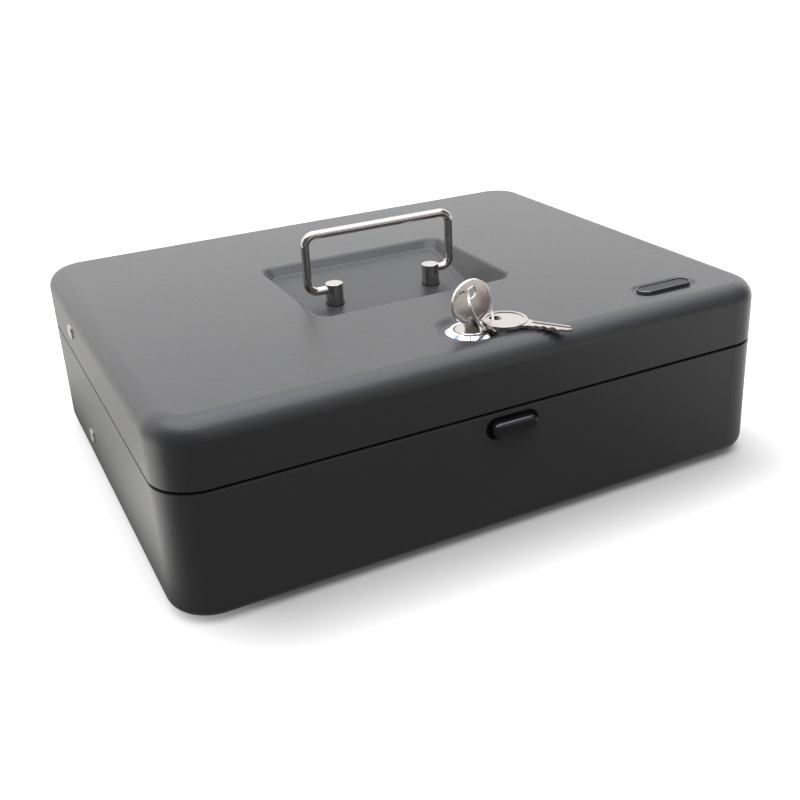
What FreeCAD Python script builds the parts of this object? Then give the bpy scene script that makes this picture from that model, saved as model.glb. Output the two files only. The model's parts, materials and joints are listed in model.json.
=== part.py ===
import FreeCAD, Part
import os
import math

# Steel cash box with its lid closed: carrying handle raised over a recess in the lid, key in
# the lock with a spare on a ring, release button in front, coin tray hung on links inside.
# Frame: +X to the right along the front, +Y to the back, +Z up. Millimetres.
# Origin: centre of the footprint, on the surface the feet stand on.

V = FreeCAD.Vector
X_AXIS, Y_AXIS, Z_AXIS = (1, 0, 0), (0, 1, 0), (0, 0, 1)
SIDES = (-1, 1)

# ---------------------------------------------------------------- shared dimensions
WIDTH, DEPTH = 300.0, 240.0   # overall size of the shells
TOP_Z = 90.0                  # top of the lid
BASE_Z = 2.0                  # underside of the base shell, standing on its feet
CORNER_R = 20.0               # vertical corners
SHEET = 0.8                   # sheet steel
SEAM_Z = 61.5                 # lower edge of the lid
LIP_GAP = 0.4                 # running gap between the base lip and the lid wall
LIP_OUTER = SHEET + LIP_GAP   # insets of the two lip faces from the outside of the shells
LIP_INNER = LIP_OUTER + SHEET
FIT = 0.05                    # close fit between mating parts

SIDE_X = WIDTH / 2
FRONT_INNER_Y = -DEPTH / 2 + SHEET
REAR_INNER_Y = DEPTH / 2 - SHEET

# hinge axis, with the barrel flush in the rear wall
BARREL_R = 2.5
HINGE_Y, HINGE_Z = DEPTH / 2 - BARREL_R, SEAM_Z

# handle recess in the lid, with its mouth at TOP_Z
RECESS_HALF_X = 52.5
RECESS_FRONT_Y, RECESS_BACK_Y = -44.5, 39.5
HANDLE_Y = (RECESS_FRONT_Y + RECESS_BACK_Y) / 2
FLOOR_Z, FLOOR_SLOPE = 79.7, 0.15   # height at the handle axis, rise per mm to the back
FLOOR_STRETCH = math.sqrt(1 + FLOOR_SLOPE ** 2)   # vertical mm per mm square to the floor
POST_X = 27.3
POST_SCREW_R = 1.5
SCREW_CLEARANCE = 0.15

# lock axis, and the round dimple it stands in
LOCK_X, LOCK_Y = 0.0, -92.5
DIMPLE_TOP_R, DIMPLE_FLOOR_R, DIMPLE_Z = 16.6, 13.6, 87.9
LOCK_BODY_R = 8.1

# badge, and the oval dish it lies in
BADGE_X, BADGE_Y = 103.0, -97.6
DISH_L, DISH_W, DISH_DEPTH = 35.0, 15.0, 0.9

# front button
BUTTON_X, BUTTON_Z = 3.9, 52.9
SLOT_L, SLOT_H = 26.5, 10.3

# tray linkage: hinge, lid pivot, arm joint and base pivot make a parallelogram, so the tray
# stays level
LID_PIVOT_Y, LID_PIVOT_Z = 46.8, 74.6
BASE_PIVOT_Y, BASE_PIVOT_Z = 37.0, 20.6
JOINT_Y = BASE_PIVOT_Y + (LID_PIVOT_Y - HINGE_Y)
JOINT_Z = BASE_PIVOT_Z + (LID_PIVOT_Z - HINGE_Z)
PIVOT_R = 2.0
PIVOT_BORE = PIVOT_R + FIT

# feet
FOOT_X, FOOT_Y, FOOT_R, FOOT_STEM_R = 124.0, 94.0, 8.0, 2.2
FOOT_PLACES = [(sx * FOOT_X, sy * FOOT_Y) for sx in SIDES for sy in SIDES]


# ---------------------------------------------------------------- helpers
def box(x0, x1, y0, y1, z0, z1):
    return Part.makeBox(x1 - x0, y1 - y0, z1 - z0, V(x0, y0, z0))


def cylinder(start, axis, radius, length):
    return Part.makeCylinder(radius, length, V(*start), V(*axis))


def tube(start, axis, outer_r, inner_r, length):
    return cylinder(start, axis, outer_r, length).cut(cylinder(start, axis, inner_r, length))


def side_to_side(y, z, radius):
    """Cylinder along X through both side walls."""
    return cylinder((-160, y, z), X_AXIS, radius, 320)


def fillet(shape, radius, pick):
    edges = [edge for edge in shape.Edges if pick(edge)]
    return shape.makeFillet(radius, edges) if edges else shape


def fillet_if_sound(shape, radius, pick, sound=lambda rounded: rounded.isValid()):
    # guards a fillet the kernel may refuse or spoil; the edges then stay sharp
    try:
        rounded = fillet(shape, radius, pick)
        if sound(rounded):
            return rounded
    except Exception:
        pass
    return shape


def level(z):
    """Edge picker: edges lying flat at height z."""
    def pick(edge):
        bounds = edge.BoundBox
        return abs(bounds.ZMin - z) < 1e-4 and abs(bounds.ZMax - z) < 1e-4
    return pick


def upright(height):
    """Edge picker: vertical edges of a block of this height."""
    return lambda edge: edge.BoundBox.ZLength > height * 0.9


def rounded_block(half_x, y0, y1, radius, z0, z1):
    return fillet(box(-half_x, half_x, y0, y1, z0, z1), radius, upright(z1 - z0))


def rounded_wire(half_x, y0, y1, radius, z):
    block = rounded_block(half_x, y0, y1, radius, z, z + 1.0)
    return [face for face in block.Faces if abs(face.BoundBox.ZMax - z) < 1e-6][0].OuterWire


def shell_block(inset, z0, z1):
    """Block with the outline of the shells, moved in by inset."""
    return rounded_block(SIDE_X - inset, -DEPTH / 2 + inset, DEPTH / 2 - inset,
                         CORNER_R - inset, z0, z1)


def stadium_wire(cx, cy, length, width, z=0):
    radius = width / 2.0
    half = length / 2.0 - radius
    front_left, front_right = V(cx - half, cy - radius, z), V(cx + half, cy - radius, z)
    back_right, back_left = V(cx + half, cy + radius, z), V(cx - half, cy + radius, z)
    return Part.Wire([
        Part.LineSegment(front_left, front_right).toShape(),
        Part.Arc(front_right, V(cx + half + radius, cy, z), back_right).toShape(),
        Part.LineSegment(back_right, back_left).toShape(),
        Part.Arc(back_left, V(cx - half - radius, cy, z), front_left).toShape(),
    ])


def stadium_up(cx, cy, length, width, z0, z1):
    return Part.Face(stadium_wire(cx, cy, length, width, z0)).extrude(V(0, 0, z1 - z0))


def button_stadium(length, height, y0, y1):
    """Stadium upright in the XZ plane around the button centre, running back from y0."""
    wire = stadium_wire(BUTTON_X, BUTTON_Z, length, height)
    wire.rotate(V(0, 0, 0), V(1, 0, 0), 90)
    wire.translate(V(0, y0, 0))
    return Part.Face(wire).extrude(V(0, y1 - y0, 0))


def polygon_face(points):
    return Part.Face(Part.makePolygon([V(*p) for p in points + points[:1]]))


def prism_x(x0, x1, outline):
    """Prism along X; outline holds (y, z) points."""
    return polygon_face([(x0, y, z) for y, z in outline]).extrude(V(x1 - x0, 0, 0))


def prism_y(y0, y1, outline):
    """Prism along Y; outline holds (x, z) points."""
    return polygon_face([(x, y0, z) for x, z in outline]).extrude(V(0, y1 - y0, 0))


def revolve_z(profile, cx, cy):
    """Turned part on a vertical axis; profile holds (radius, z) points."""
    face = polygon_face([(cx + r, cy, z) for r, z in profile])
    return face.revolve(V(cx, cy, 0), V(0, 0, 1), 360)


def revolve_x(profile, y, z):
    """Turned part on an axis along X; profile holds (x, radius) points."""
    face = polygon_face([(x, y + r, z) for x, r in profile])
    return face.revolve(V(0, y, z), V(1, 0, 0), 360)


def single_solid(shape):
    """Merge split faces and keep the one (or largest) solid."""
    shape = shape.removeSplitter()
    if len(shape.Solids) == 1:
        shape = shape.Solids[0]
    else:
        shape = max(shape.Solids, key=lambda solid: solid.Volume)
    if not shape.isValid():
        shape.fix(1e-5, 1e-5, 1e-4)
    return shape


def right_and_left(shape):
    """The piece as built on the right, and its mirror image on the left."""
    right = single_solid(shape)
    return [right, single_solid(right.mirror(V(0, 0, 0), V(1, 0, 0)))]


def save(name, *shapes):
    piece = shapes[0] if len(shapes) == 1 else Part.makeCompound(list(shapes))
    piece.exportStep("parts/%s.step" % name)


def floor_z(y):
    """Height of the tilted recess floor."""
    return FLOOR_Z + FLOOR_SLOPE * (y - HANDLE_Y)


def below_floor(offset):
    """Everything under the recess floor raised by offset, measured square to the floor."""
    y0, y1, bottom = -80.0, 80.0, 40
    rise = offset * FLOOR_STRETCH
    return prism_x(-90, 90, [(y0, floor_z(y0) + rise), (y1, floor_z(y1) + rise),
                             (y1, bottom), (y0, bottom)])


# ---------------------------------------------------------------- lid shell
LID_EDGE_R = 9.0                  # rounded edge around the top
LID_REAR_Z = 64.22                # rear edge above the hinge
REAR_CUT_HALF = 140.0             # both rear walls are cut back over this half width
RECESS_R, RECESS_R_TAPER = 6.8, 0.25      # corner radius at the top, shrink per mm of depth
RECESS_SIDE_RUN, RECESS_BACK_RUN = 0.71, 0.89   # inward run of the walls per mm of depth
RECESS_FLOOR_R, RECESS_MOUTH_R = 2.2, 2.5
DIMPLE_MOUTH_R, DIMPLE_BOTTOM_R = 4.0, 2.0
DISH_MOUTH_R, DISH_BOTTOM_R = 2.4, 1.6

# fillets around the mouths in the lid top: radius, and the window that holds
# the edges as x0, x1, y0, y1
MOUTHS = [
    (RECESS_MOUTH_R, (-60, 60, -50, 45)),
    (DIMPLE_MOUTH_R, (LOCK_X - 20, LOCK_X + 20, -DEPTH / 2, -70)),
    (DISH_MOUTH_R, (75, 130, -110, -80)),
]


# The tools below take grow: 0 for the outer face of the sheet, SHEET for the inner one.
def recess_tool(grow):
    """Tapered pocket with a tilted floor."""
    side_grow = grow * math.sqrt(1 + RECESS_SIDE_RUN ** 2)
    back_grow = grow * math.sqrt(1 + RECESS_BACK_RUN ** 2)

    def outline(z):
        up = z - TOP_Z
        return rounded_wire(RECESS_HALF_X + RECESS_SIDE_RUN * up + side_grow,
                            RECESS_FRONT_Y - RECESS_SIDE_RUN * up - side_grow,
                            RECESS_BACK_Y + RECESS_BACK_RUN * up + back_grow,
                            RECESS_R + RECESS_R_TAPER * up + grow, z)

    def on_floor(edge):
        drop = grow * FLOOR_STRETCH
        return all(abs(v.Point.z - floor_z(v.Point.y) + drop) < 1e-3 for v in edge.Vertexes)

    pocket = Part.makeLoft([outline(70.0), outline(94.0)], True, True)
    pocket = pocket.cut(below_floor(-grow)).Solids[0]
    return fillet_if_sound(pocket, RECESS_FLOOR_R + grow, on_floor, sound=lambda rounded: True)


def dimple_tool(grow):
    flare = (DIMPLE_TOP_R - DIMPLE_FLOOR_R) / (TOP_Z - DIMPLE_Z)
    wall_grow = grow * math.sqrt(1 + flare * flare) * 0.75
    over = 3   # height above the lid
    return revolve_z([(0, DIMPLE_Z - grow),
                      (DIMPLE_FLOOR_R + wall_grow - flare * grow, DIMPLE_Z - grow),
                      (DIMPLE_TOP_R + wall_grow + flare * over, TOP_Z + over),
                      (0, TOP_Z + over)], LOCK_X, LOCK_Y)


def dish_tool(grow):
    bottom = stadium_wire(BADGE_X, BADGE_Y, DISH_L - 2.4 + grow, DISH_W - 2.4 + grow,
                          TOP_Z - DISH_DEPTH - grow)
    top = stadium_wire(BADGE_X, BADGE_Y, DISH_L + 6 + grow, DISH_W + 6 + grow, TOP_Z + 1.6)
    return Part.makeLoft([bottom, top], True, True)


def pressed_block(grow, z0):
    """Solid form of the lid, bounded by the outer or the inner face of the sheet."""
    top = TOP_Z - grow
    on_top = level(top)
    on_dimple = level(DIMPLE_Z - grow)
    on_dish = level(TOP_Z - DISH_DEPTH - grow)

    form = fillet(shell_block(grow, z0, top), LID_EDGE_R - grow, on_top)
    form = form.cut(recess_tool(grow)).cut(dimple_tool(grow)).cut(dish_tool(grow))
    form = form.removeSplitter()

    for radius, (x0, x1, y0, y1) in MOUTHS:
        def on_mouth(edge):
            b = edge.BoundBox
            return on_top(edge) and b.XMin > x0 and b.XMax < x1 and b.YMin > y0 and b.YMax < y1
        form = fillet_if_sound(form, radius - grow, on_mouth,
                               lambda rounded: rounded.isValid() and abs(rounded.Volume) > 1000)

    def around_lock(edge):
        centre = edge.BoundBox.Center
        return on_dimple(edge) and abs(centre.x - LOCK_X) < 1 and abs(centre.y - LOCK_Y) < 1

    form = fillet_if_sound(form, DIMPLE_BOTTOM_R + grow, around_lock)
    return fillet_if_sound(form, DISH_BOTTOM_R + grow,
                           lambda edge: on_dish(edge) and edge.BoundBox.XMin > 70)


def rear_cut(z0, z1):
    return box(-REAR_CUT_HALF, REAR_CUT_HALF, 105, 130, z0, z1)


def lid_shell():
    lid = single_solid(pressed_block(0.0, SEAM_Z).cut(pressed_block(SHEET, 50.0)))
    lid = lid.cut(rear_cut(50, LID_REAR_Z))
    lid = lid.cut(cylinder((LOCK_X, LOCK_Y, 80), Z_AXIS, LOCK_BODY_R + 0.1, 12))
    for side in SIDES:
        lid = lid.cut(cylinder((side * POST_X, HANDLE_Y, 70), Z_AXIS,
                               POST_SCREW_R + SCREW_CLEARANCE, 25))
    return single_solid(lid.cut(side_to_side(LID_PIVOT_Y, LID_PIVOT_Z, PIVOT_BORE)))


# ---------------------------------------------------------------- base shell
BASE_EDGE_R = 6.0                        # rounded edge around the underside
SHOULDER_Z, SHOULDER_R = 60.65, 1.17     # rounded shoulder just under the lid
LIP_Z = 68.0                             # top of the lip that rises inside the lid
LIP_FOOT_Z = 59.1                        # where the wall steps in to the lip


def base_shell():
    body = fillet(shell_block(0, BASE_Z, SHOULDER_Z), BASE_EDGE_R, level(BASE_Z))
    body = fillet(body, SHOULDER_R, level(SHOULDER_Z))
    base = body.fuse(shell_block(LIP_OUTER, 55.0, LIP_Z))

    floor_top = BASE_Z + SHEET
    cavity = shell_block(SHEET, floor_top, LIP_FOOT_Z)
    cavity = fillet(cavity, BASE_EDGE_R - SHEET, level(floor_top))
    base = base.cut(cavity).cut(shell_block(LIP_INNER, 40.0, LIP_Z + 3))

    base = base.cut(rear_cut(LIP_FOOT_Z, 80))
    base = base.cut(button_stadium(SLOT_L, SLOT_H, -125, -112))
    base = base.cut(side_to_side(BASE_PIVOT_Y, BASE_PIVOT_Z, PIVOT_BORE))
    for x, y in FOOT_PLACES:
        base = base.cut(cylinder((x, y, 0), Z_AXIS, FOOT_STEM_R + FIT, 6))
    return single_solid(base)


# ---------------------------------------------------------------- hinge
HINGE_BORE, ROD_R = 1.25, 1.2
HINGE_HALF = 130.0
KNUCKLES, KNUCKLE_GAP = 13, 0.2
LEAF_T = 0.8
LEAF_BOTTOM, LEAF_TOP = 46.0, 76.0
LEAF_RELIEF = 0.3                 # gap between a leaf and the other leaf's knuckles


def hinge_leaves():
    """Base leaf with the even knuckles, lid leaf with the odd ones."""
    outer, inner = REAR_INNER_Y, REAR_INNER_Y - LEAF_T
    relief = BARREL_R + LEAF_RELIEF
    base_leaf = box(-HINGE_HALF, HINGE_HALF, inner, outer, LEAF_BOTTOM, HINGE_Z - relief)
    lid_leaf = box(-HINGE_HALF, HINGE_HALF, inner, outer, HINGE_Z + relief, LEAF_TOP)
    pitch = 2 * HINGE_HALF / KNUCKLES
    for i in range(KNUCKLES):
        x0 = -HINGE_HALF + i * pitch + (KNUCKLE_GAP / 2 if i else 0)
        x1 = -HINGE_HALF + (i + 1) * pitch - (KNUCKLE_GAP / 2 if i < KNUCKLES - 1 else 0)
        knuckle = cylinder((x0, HINGE_Y, HINGE_Z), X_AXIS, BARREL_R, x1 - x0)
        if i % 2 == 0:
            base_leaf = base_leaf.fuse(knuckle.fuse(box(x0, x1, inner, outer, 55.0, HINGE_Z)))
        else:
            lid_leaf = lid_leaf.fuse(knuckle.fuse(box(x0, x1, inner, outer, HINGE_Z, 68.0)))
    bore = cylinder((-140, HINGE_Y, HINGE_Z), X_AXIS, HINGE_BORE, 280)
    return single_solid(base_leaf.cut(bore)), single_solid(lid_leaf.cut(bore))


def hinge_rod():
    half = HINGE_HALF + 0.4
    return cylinder((-half, HINGE_Y, HINGE_Z), X_AXIS, ROD_R, 2 * half)


# ---------------------------------------------------------------- carrying handle
HANDLE_Z = 87.3                          # axis of the stubs in the posts
POST_R, POST_TOP, POST_EDGE_R = 4.5, 90.2, 0.35
POST_BORE_TOP, POST_SCREW_TOP = 84.5, 84.2
WIRE_R = 2.12
LEG_X, BAR_Z, BEND_R = 39.95, 116.3, 5.0
STUB_END = 25.6                          # inner end of the stubs
HANDLE_SHIFT = -1.15                     # the handle floats sideways in its posts
WASHER_R, WASHER_T = 4.72, 0.5
SCREW_HEAD_R, SCREW_HEAD_T = 3.4, 1.8
CROSS_HALF_W, CROSS_DEPTH = 0.4, 0.9     # cross slot in the screw head


def handle_post(side):
    x = side * POST_X
    post = cylinder((x, HANDLE_Y, 70), Z_AXIS, POST_R, POST_TOP - 70)
    post = fillet(post, POST_EDGE_R, level(POST_TOP))
    post = post.cut(below_floor(WASHER_T))
    post = post.cut(cylinder((side * (STUB_END - 1.5), HANDLE_Y, HANDLE_Z), (side, 0, 0),
                             WIRE_R + FIT, 20))
    return single_solid(post.cut(cylinder((x, HANDLE_Y, 70), Z_AXIS, POST_SCREW_R + FIT,
                                          POST_BORE_TOP - 70)))


def post_washer(side):
    """Ring between the post and the tilted recess floor."""
    washer = tube((side * POST_X, HANDLE_Y, 70), Z_AXIS, WASHER_R,
                  POST_SCREW_R + SCREW_CLEARANCE, 25)
    return single_solid(washer.cut(below_floor(0)).common(below_floor(WASHER_T)))


def post_screw(side):
    """Screw from below; its head is cut to the tilt of the sheet above it."""
    x, y = side * POST_X, HANDLE_Y
    sheet_z = floor_z(y) - SHEET
    head_z = sheet_z - SCREW_HEAD_T
    screw = cylinder((x, y, head_z - 1.5), Z_AXIS, SCREW_HEAD_R, SCREW_HEAD_T + 4)
    screw = screw.common(below_floor(-SHEET))
    screw = screw.cut(box(x - 5, x + 5, y - 5, y + 5, sheet_z - 6, head_z))
    screw = screw.fuse(cylinder((x, y, sheet_z - 1), Z_AXIS, POST_SCREW_R,
                                POST_SCREW_TOP - sheet_z + 1))
    reach = SCREW_HEAD_R * 0.55
    for dx, dy in ((reach, CROSS_HALF_W), (CROSS_HALF_W, reach)):
        screw = screw.cut(box(x - dx, x + dx, y - dy, y + dy, sheet_z - 5, head_z + CROSS_DEPTH))
    return single_solid(screw)


def elbow(side, z, z_side):
    """Quarter bend centred at height z, filling the quadrant towards side and z_side."""
    x = side * (LEG_X - BEND_R)
    x0, x1 = sorted((x, x + side * 12))
    z0, z1 = sorted((z, z + z_side * 12))
    torus = Part.makeTorus(BEND_R, WIRE_R, V(x, HANDLE_Y, z), V(0, 1, 0))
    return torus.common(box(x0, x1, HANDLE_Y - 6, HANDLE_Y + 6, z0, z1))


def handle_bail():
    bar_half = LEG_X - BEND_R
    leg_bottom, leg_top = HANDLE_Z + BEND_R, BAR_Z - BEND_R
    bail = cylinder((-bar_half, HANDLE_Y, BAR_Z), X_AXIS, WIRE_R, 2 * bar_half)
    for side in SIDES:
        bail = bail.fuse(cylinder((side * LEG_X, HANDLE_Y, leg_bottom), Z_AXIS, WIRE_R,
                                  leg_top - leg_bottom))
        bail = bail.fuse(elbow(side, leg_top, 1))
        bail = bail.fuse(elbow(side, leg_bottom, -1))
        bail = bail.fuse(cylinder((side * STUB_END, HANDLE_Y, HANDLE_Z), (side, 0, 0), WIRE_R,
                                  bar_half - STUB_END))
    bail.translate(V(HANDLE_SHIFT, 0, 0))
    return single_solid(bail)


# ---------------------------------------------------------------- keys
BOW_R, BOW_RIM, KEY_T = 10.25, 1.45, 1.8
WEB_T = 1.2                              # thickness inside the bow rim and of the blade
KEY_HOLE_Z, KEY_HOLE_HALF_H, KEY_HOLE_HALF_W = 4.5, 2.95, 2.45
KEY_REACH = 31.3                         # bow centre to tip
BLADE_W = 6.2
NECK_W, NECK_DROP = 8.2, 1.8             # shoulder width, and its drop below the bow
NECK_ARCH_R, NECK_ARCH_Z = 3.4, -10.3    # the thick neck ends in an arch inside the bow
GROOVE_X, GROOVE_W, GROOVE_DEPTH = 0.35, 1.45, 0.32
KEY_TURN = 5.0                           # degrees the key in the lock stands off the front
LOCK_KEY_X, LOCK_KEY_Z = 0.3, 101.8      # its bow: offset from the lock axis, and height
SPARE_AT = (14.3, -97.4, 91.5)
SPARE_ANGLE = -55.1                      # heading of the spare's blade, degrees from +X
RING_CENTRE, RING_AXIS = (3.85, -94.75, 98.715), (0.6115, -0.6448, 0.4585)
RING_R, RING_WIRE_R = 10.159, 0.4

# toothed edge of the blade: (depth of cut, drop below the bow)
TEETH = [
    (0, 4.0), (0.9, 5.0), (0.9, 6.2), (0.2, 7.0), (1.6, 8.3), (1.6, 9.4), (0.6, 10.3),
    (0.6, 11.2), (1.9, 12.4), (1.9, 13.4), (0.3, 14.9), (0.3, 16.0), (1.1, 17.0), (1.1, 17.8),
]


def turned(shape):
    """Turn about the lock axis with the key."""
    shape.rotate(V(LOCK_X, LOCK_Y, 0), V(0, 0, 1), KEY_TURN)
    return shape


def key():
    """Bow in the XZ plane, centred on the origin, with the blade along -Z."""
    half_web, half_blade = WEB_T / 2, BLADE_W / 2
    bow_z, tip = -BOW_R, -KEY_REACH
    shape = cylinder((0, -KEY_T / 2, 0), Y_AXIS, BOW_R, KEY_T)
    depth = KEY_T / 2 - half_web + 1
    for y in (-KEY_T / 2 - 1, half_web):
        pocket = cylinder((0, y, 0), Y_AXIS, BOW_R - BOW_RIM, depth)
        arch = cylinder((0, y - 1, NECK_ARCH_Z), Y_AXIS, NECK_ARCH_R, depth + 2)
        shape = shape.cut(pocket.cut(arch))

    wide, narrow = NECK_W / 2 + 0.6, NECK_W / 2 - 0.4
    shape = shape.fuse(prism_y(-half_web, half_web, [
        (-wide, bow_z + 2.2), (wide, bow_z + 2.2), (narrow, bow_z - 0.9),
        (narrow, bow_z - NECK_DROP), (-narrow, bow_z - NECK_DROP), (-narrow, bow_z - 0.9)]))

    outline = [(half_blade, bow_z + 2), (-half_blade, bow_z + 2)]
    outline += [(-half_blade + cut, bow_z - drop) for cut, drop in TEETH]
    outline += [(-half_blade + 1.1, tip + 1.8), (-0.7, tip), (0.7, tip), (half_blade, tip + 2.2)]
    shape = shape.fuse(prism_y(-half_web, half_web, outline))

    # milled groove along each face of the blade
    for y0, y1 in ((-half_web - 1, -half_web + GROOVE_DEPTH),
                   (half_web - GROOVE_DEPTH, half_web + 1)):
        shape = shape.cut(box(GROOVE_X, GROOVE_X + GROOVE_W, y0, y1, tip - 1, bow_z - 2.4))

    # oval hole for the ring
    hole = cylinder((0, -5, 0), Y_AXIS, 1.0, 10)
    stretch = FreeCAD.Matrix()
    stretch.scale(KEY_HOLE_HALF_W, 1, KEY_HOLE_HALF_H)
    hole = hole.transformGeometry(stretch)
    hole.translate(V(0, 0, KEY_HOLE_Z))
    shape = shape.cut(hole).removeSplitter()

    def on_bow_rim(edge):
        bounds = edge.BoundBox
        return bounds.XLength > 2 * BOW_R - 0.1 and bounds.ZLength > BOW_R

    return fillet_if_sound(shape, 0.2, on_bow_rim)


def key_in_lock():
    shape = key()
    shape.translate(V(LOCK_X + LOCK_KEY_X, LOCK_Y, LOCK_KEY_Z))
    return single_solid(turned(shape))


def spare_key():
    shape = key()
    shape.rotate(V(0, 0, 0), V(1, 0, 0), -90)   # lying flat, blade along -Y
    shape.rotate(V(0, 0, 0), V(0, 0, 1), SPARE_ANGLE + 90)
    shape.translate(V(*SPARE_AT))
    return single_solid(shape)


def key_ring():
    return Part.makeTorus(RING_R, RING_WIRE_R, V(*RING_CENTRE), V(*RING_AXIS))


# ---------------------------------------------------------------- lock
RING_FOOT_R, RING_TOP_R, RING_TOP_Z = 11.6, 9.45, 89.2   # sloped ring around the lock
BODY_BOTTOM, BODY_TOP, BODY_HALF_FLATS = 72.0, 88.9, 7.3
HEAD_R, HEAD_Z, HEAD_GAP, HEAD_CHAMFER = 7.55, 88.0, 0.08, 0.35   # head of the plug
PLUG_BOTTOM, PLUG_TOP, PLUG_R = 69.2, 89.55, 5.4
NUT_R, NUT_T = 12.0, 3.0
CAM_BOTTOM, CAM_TOP, CAM_REACH, CAM_HALF_W, CAM_HUB_R = 70.2, 71.8, 16.0, 5.5, 7.2
TANG_R, TANG_HALF_FLATS = 4.7, 3.3       # flattened lower end of the plug
CLIP_BOTTOM, CLIP_TOP, CLIP_R, CLIP_BORE, CLIP_HALF_GAP = 69.6, 70.15, 6.2, 4.15, 1.6
CLIP_GROOVE_R = 4.1


def lock_ring():
    bore = LOCK_BODY_R + FIT
    return single_solid(revolve_z([
        (bore, DIMPLE_Z), (RING_FOOT_R, DIMPLE_Z), (RING_FOOT_R, DIMPLE_Z + 0.25),
        (RING_TOP_R, RING_TOP_Z), (bore, RING_TOP_Z)], LOCK_X, LOCK_Y))


def lock_body():
    bore, seat = PLUG_R + FIT, HEAD_R + HEAD_GAP
    body = revolve_z([
        (bore, BODY_BOTTOM), (LOCK_BODY_R, BODY_BOTTOM), (LOCK_BODY_R, BODY_TOP),
        (seat, BODY_TOP), (seat, HEAD_Z - FIT), (bore, HEAD_Z - FIT)], LOCK_X, LOCK_Y)
    # two flats, at the back and the front
    for side in (1, -1):
        y0, y1 = sorted((LOCK_Y + side * BODY_HALF_FLATS, LOCK_Y + side * 12))
        body = body.cut(box(LOCK_X - 10, LOCK_X + 10, y0, y1, BODY_BOTTOM - 1, 84))
    return single_solid(body)


def lock_nut():
    bottom = DIMPLE_Z - SHEET - NUT_T
    corners = [math.radians(60 * i) for i in range(6)]
    nut = polygon_face([(LOCK_X + NUT_R * math.cos(a), LOCK_Y + NUT_R * math.sin(a), bottom)
                        for a in corners]).extrude(V(0, 0, NUT_T))
    return single_solid(nut.cut(cylinder((LOCK_X, LOCK_Y, bottom - 1), Z_AXIS,
                                         LOCK_BODY_R + FIT, NUT_T + 2)))


def lock_plug():
    tang_top = BODY_BOTTOM + FIT
    plug = revolve_z([
        (0, PLUG_BOTTOM), (TANG_R, PLUG_BOTTOM), (TANG_R, tang_top), (PLUG_R, tang_top),
        (PLUG_R, HEAD_Z), (HEAD_R, HEAD_Z), (HEAD_R, PLUG_TOP - HEAD_CHAMFER),
        (HEAD_R - HEAD_CHAMFER, PLUG_TOP), (0, PLUG_TOP)], LOCK_X, LOCK_Y)
    for side in SIDES:
        y0, y1 = sorted((LOCK_Y + side * TANG_HALF_FLATS, LOCK_Y + side * 8))
        plug = plug.cut(box(LOCK_X - 8, LOCK_X + 8, y0, y1, PLUG_BOTTOM - 1, tang_top))
    plug = plug.cut(tube((LOCK_X, LOCK_Y, CLIP_BOTTOM - FIT), Z_AXIS, 8, CLIP_GROOVE_R,
                         CLIP_TOP - CLIP_BOTTOM + 2 * FIT))
    # keyway
    half_l, half_w = BLADE_W / 2 + 0.15, WEB_T / 2 + 0.12
    x = LOCK_X + LOCK_KEY_X
    return single_solid(plug.cut(turned(box(x - half_l, x + half_l, LOCK_Y - half_w,
                                            LOCK_Y + half_w, PLUG_BOTTOM + 0.8, PLUG_TOP + 1))))


def lock_cam():
    """Round-ended arm pointing right, on the tang of the plug."""
    end_x = LOCK_X + CAM_REACH - CAM_HALF_W
    thick = CAM_TOP - CAM_BOTTOM
    cam = box(LOCK_X, end_x, LOCK_Y - CAM_HALF_W, LOCK_Y + CAM_HALF_W, CAM_BOTTOM, CAM_TOP)
    cam = cam.fuse(cylinder((end_x, LOCK_Y, CAM_BOTTOM), Z_AXIS, CAM_HALF_W, thick))
    cam = cam.fuse(cylinder((LOCK_X, LOCK_Y, CAM_BOTTOM), Z_AXIS, CAM_HUB_R, thick))
    half_flats = TANG_HALF_FLATS + FIT
    hole = cylinder((LOCK_X, LOCK_Y, CAM_BOTTOM - 1), Z_AXIS, TANG_R + FIT, 4)
    hole = hole.common(box(LOCK_X - 9, LOCK_X + 9, LOCK_Y - half_flats, LOCK_Y + half_flats,
                           CAM_BOTTOM - 1, CAM_TOP + 1))
    return single_solid(cam.cut(hole))


def cam_clip():
    """Ring in the groove of the tang, open to the front."""
    clip = tube((LOCK_X, LOCK_Y, CLIP_BOTTOM), Z_AXIS, CLIP_R, CLIP_BORE, CLIP_TOP - CLIP_BOTTOM)
    return single_solid(clip.cut(box(LOCK_X - CLIP_HALF_GAP, LOCK_X + CLIP_HALF_GAP,
                                     LOCK_Y - 8, LOCK_Y, CLIP_BOTTOM - 1, CLIP_TOP + 1)))


# ---------------------------------------------------------------- front button and latch
BEZEL_IN_L, BEZEL_IN_H = 23.4, 7.4
BUTTON_L, BUTTON_H = 23.0, 7.0
BUTTON_FRONT, BUTTON_EDGE_R = -124.0, 1.9
FLANGE_T = 0.9                           # flanges of bezel and button behind the wall
STRIP_T, STRIP_W = 0.6, 12.0
STRIP_Y = -115.6                         # front face of the free part of the strip
NOSE_BOTTOM, NOSE_TOP, NOSE_Y = 71.4, 72.2, -117.9
CATCH_BOTTOM, CATCH_TOP, CATCH_Y = 69.6, 70.4, -116.1
CATCH_T, CATCH_HALF_W = 0.8, 7.5
HAT_X0, HAT_X1, HAT_Y, HAT_T = -14.0, 22.0, -111.5, 1.0
HAT_BOTTOM, HAT_NECK_Z = 30.0, 68.4      # the front face narrows above the neck height
STRIKE_BOTTOM, STRIKE_TOP, STRIKE_END_Y, STRIKE_HALF_W = 72.4, 73.4, -104.0, 10.0


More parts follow.
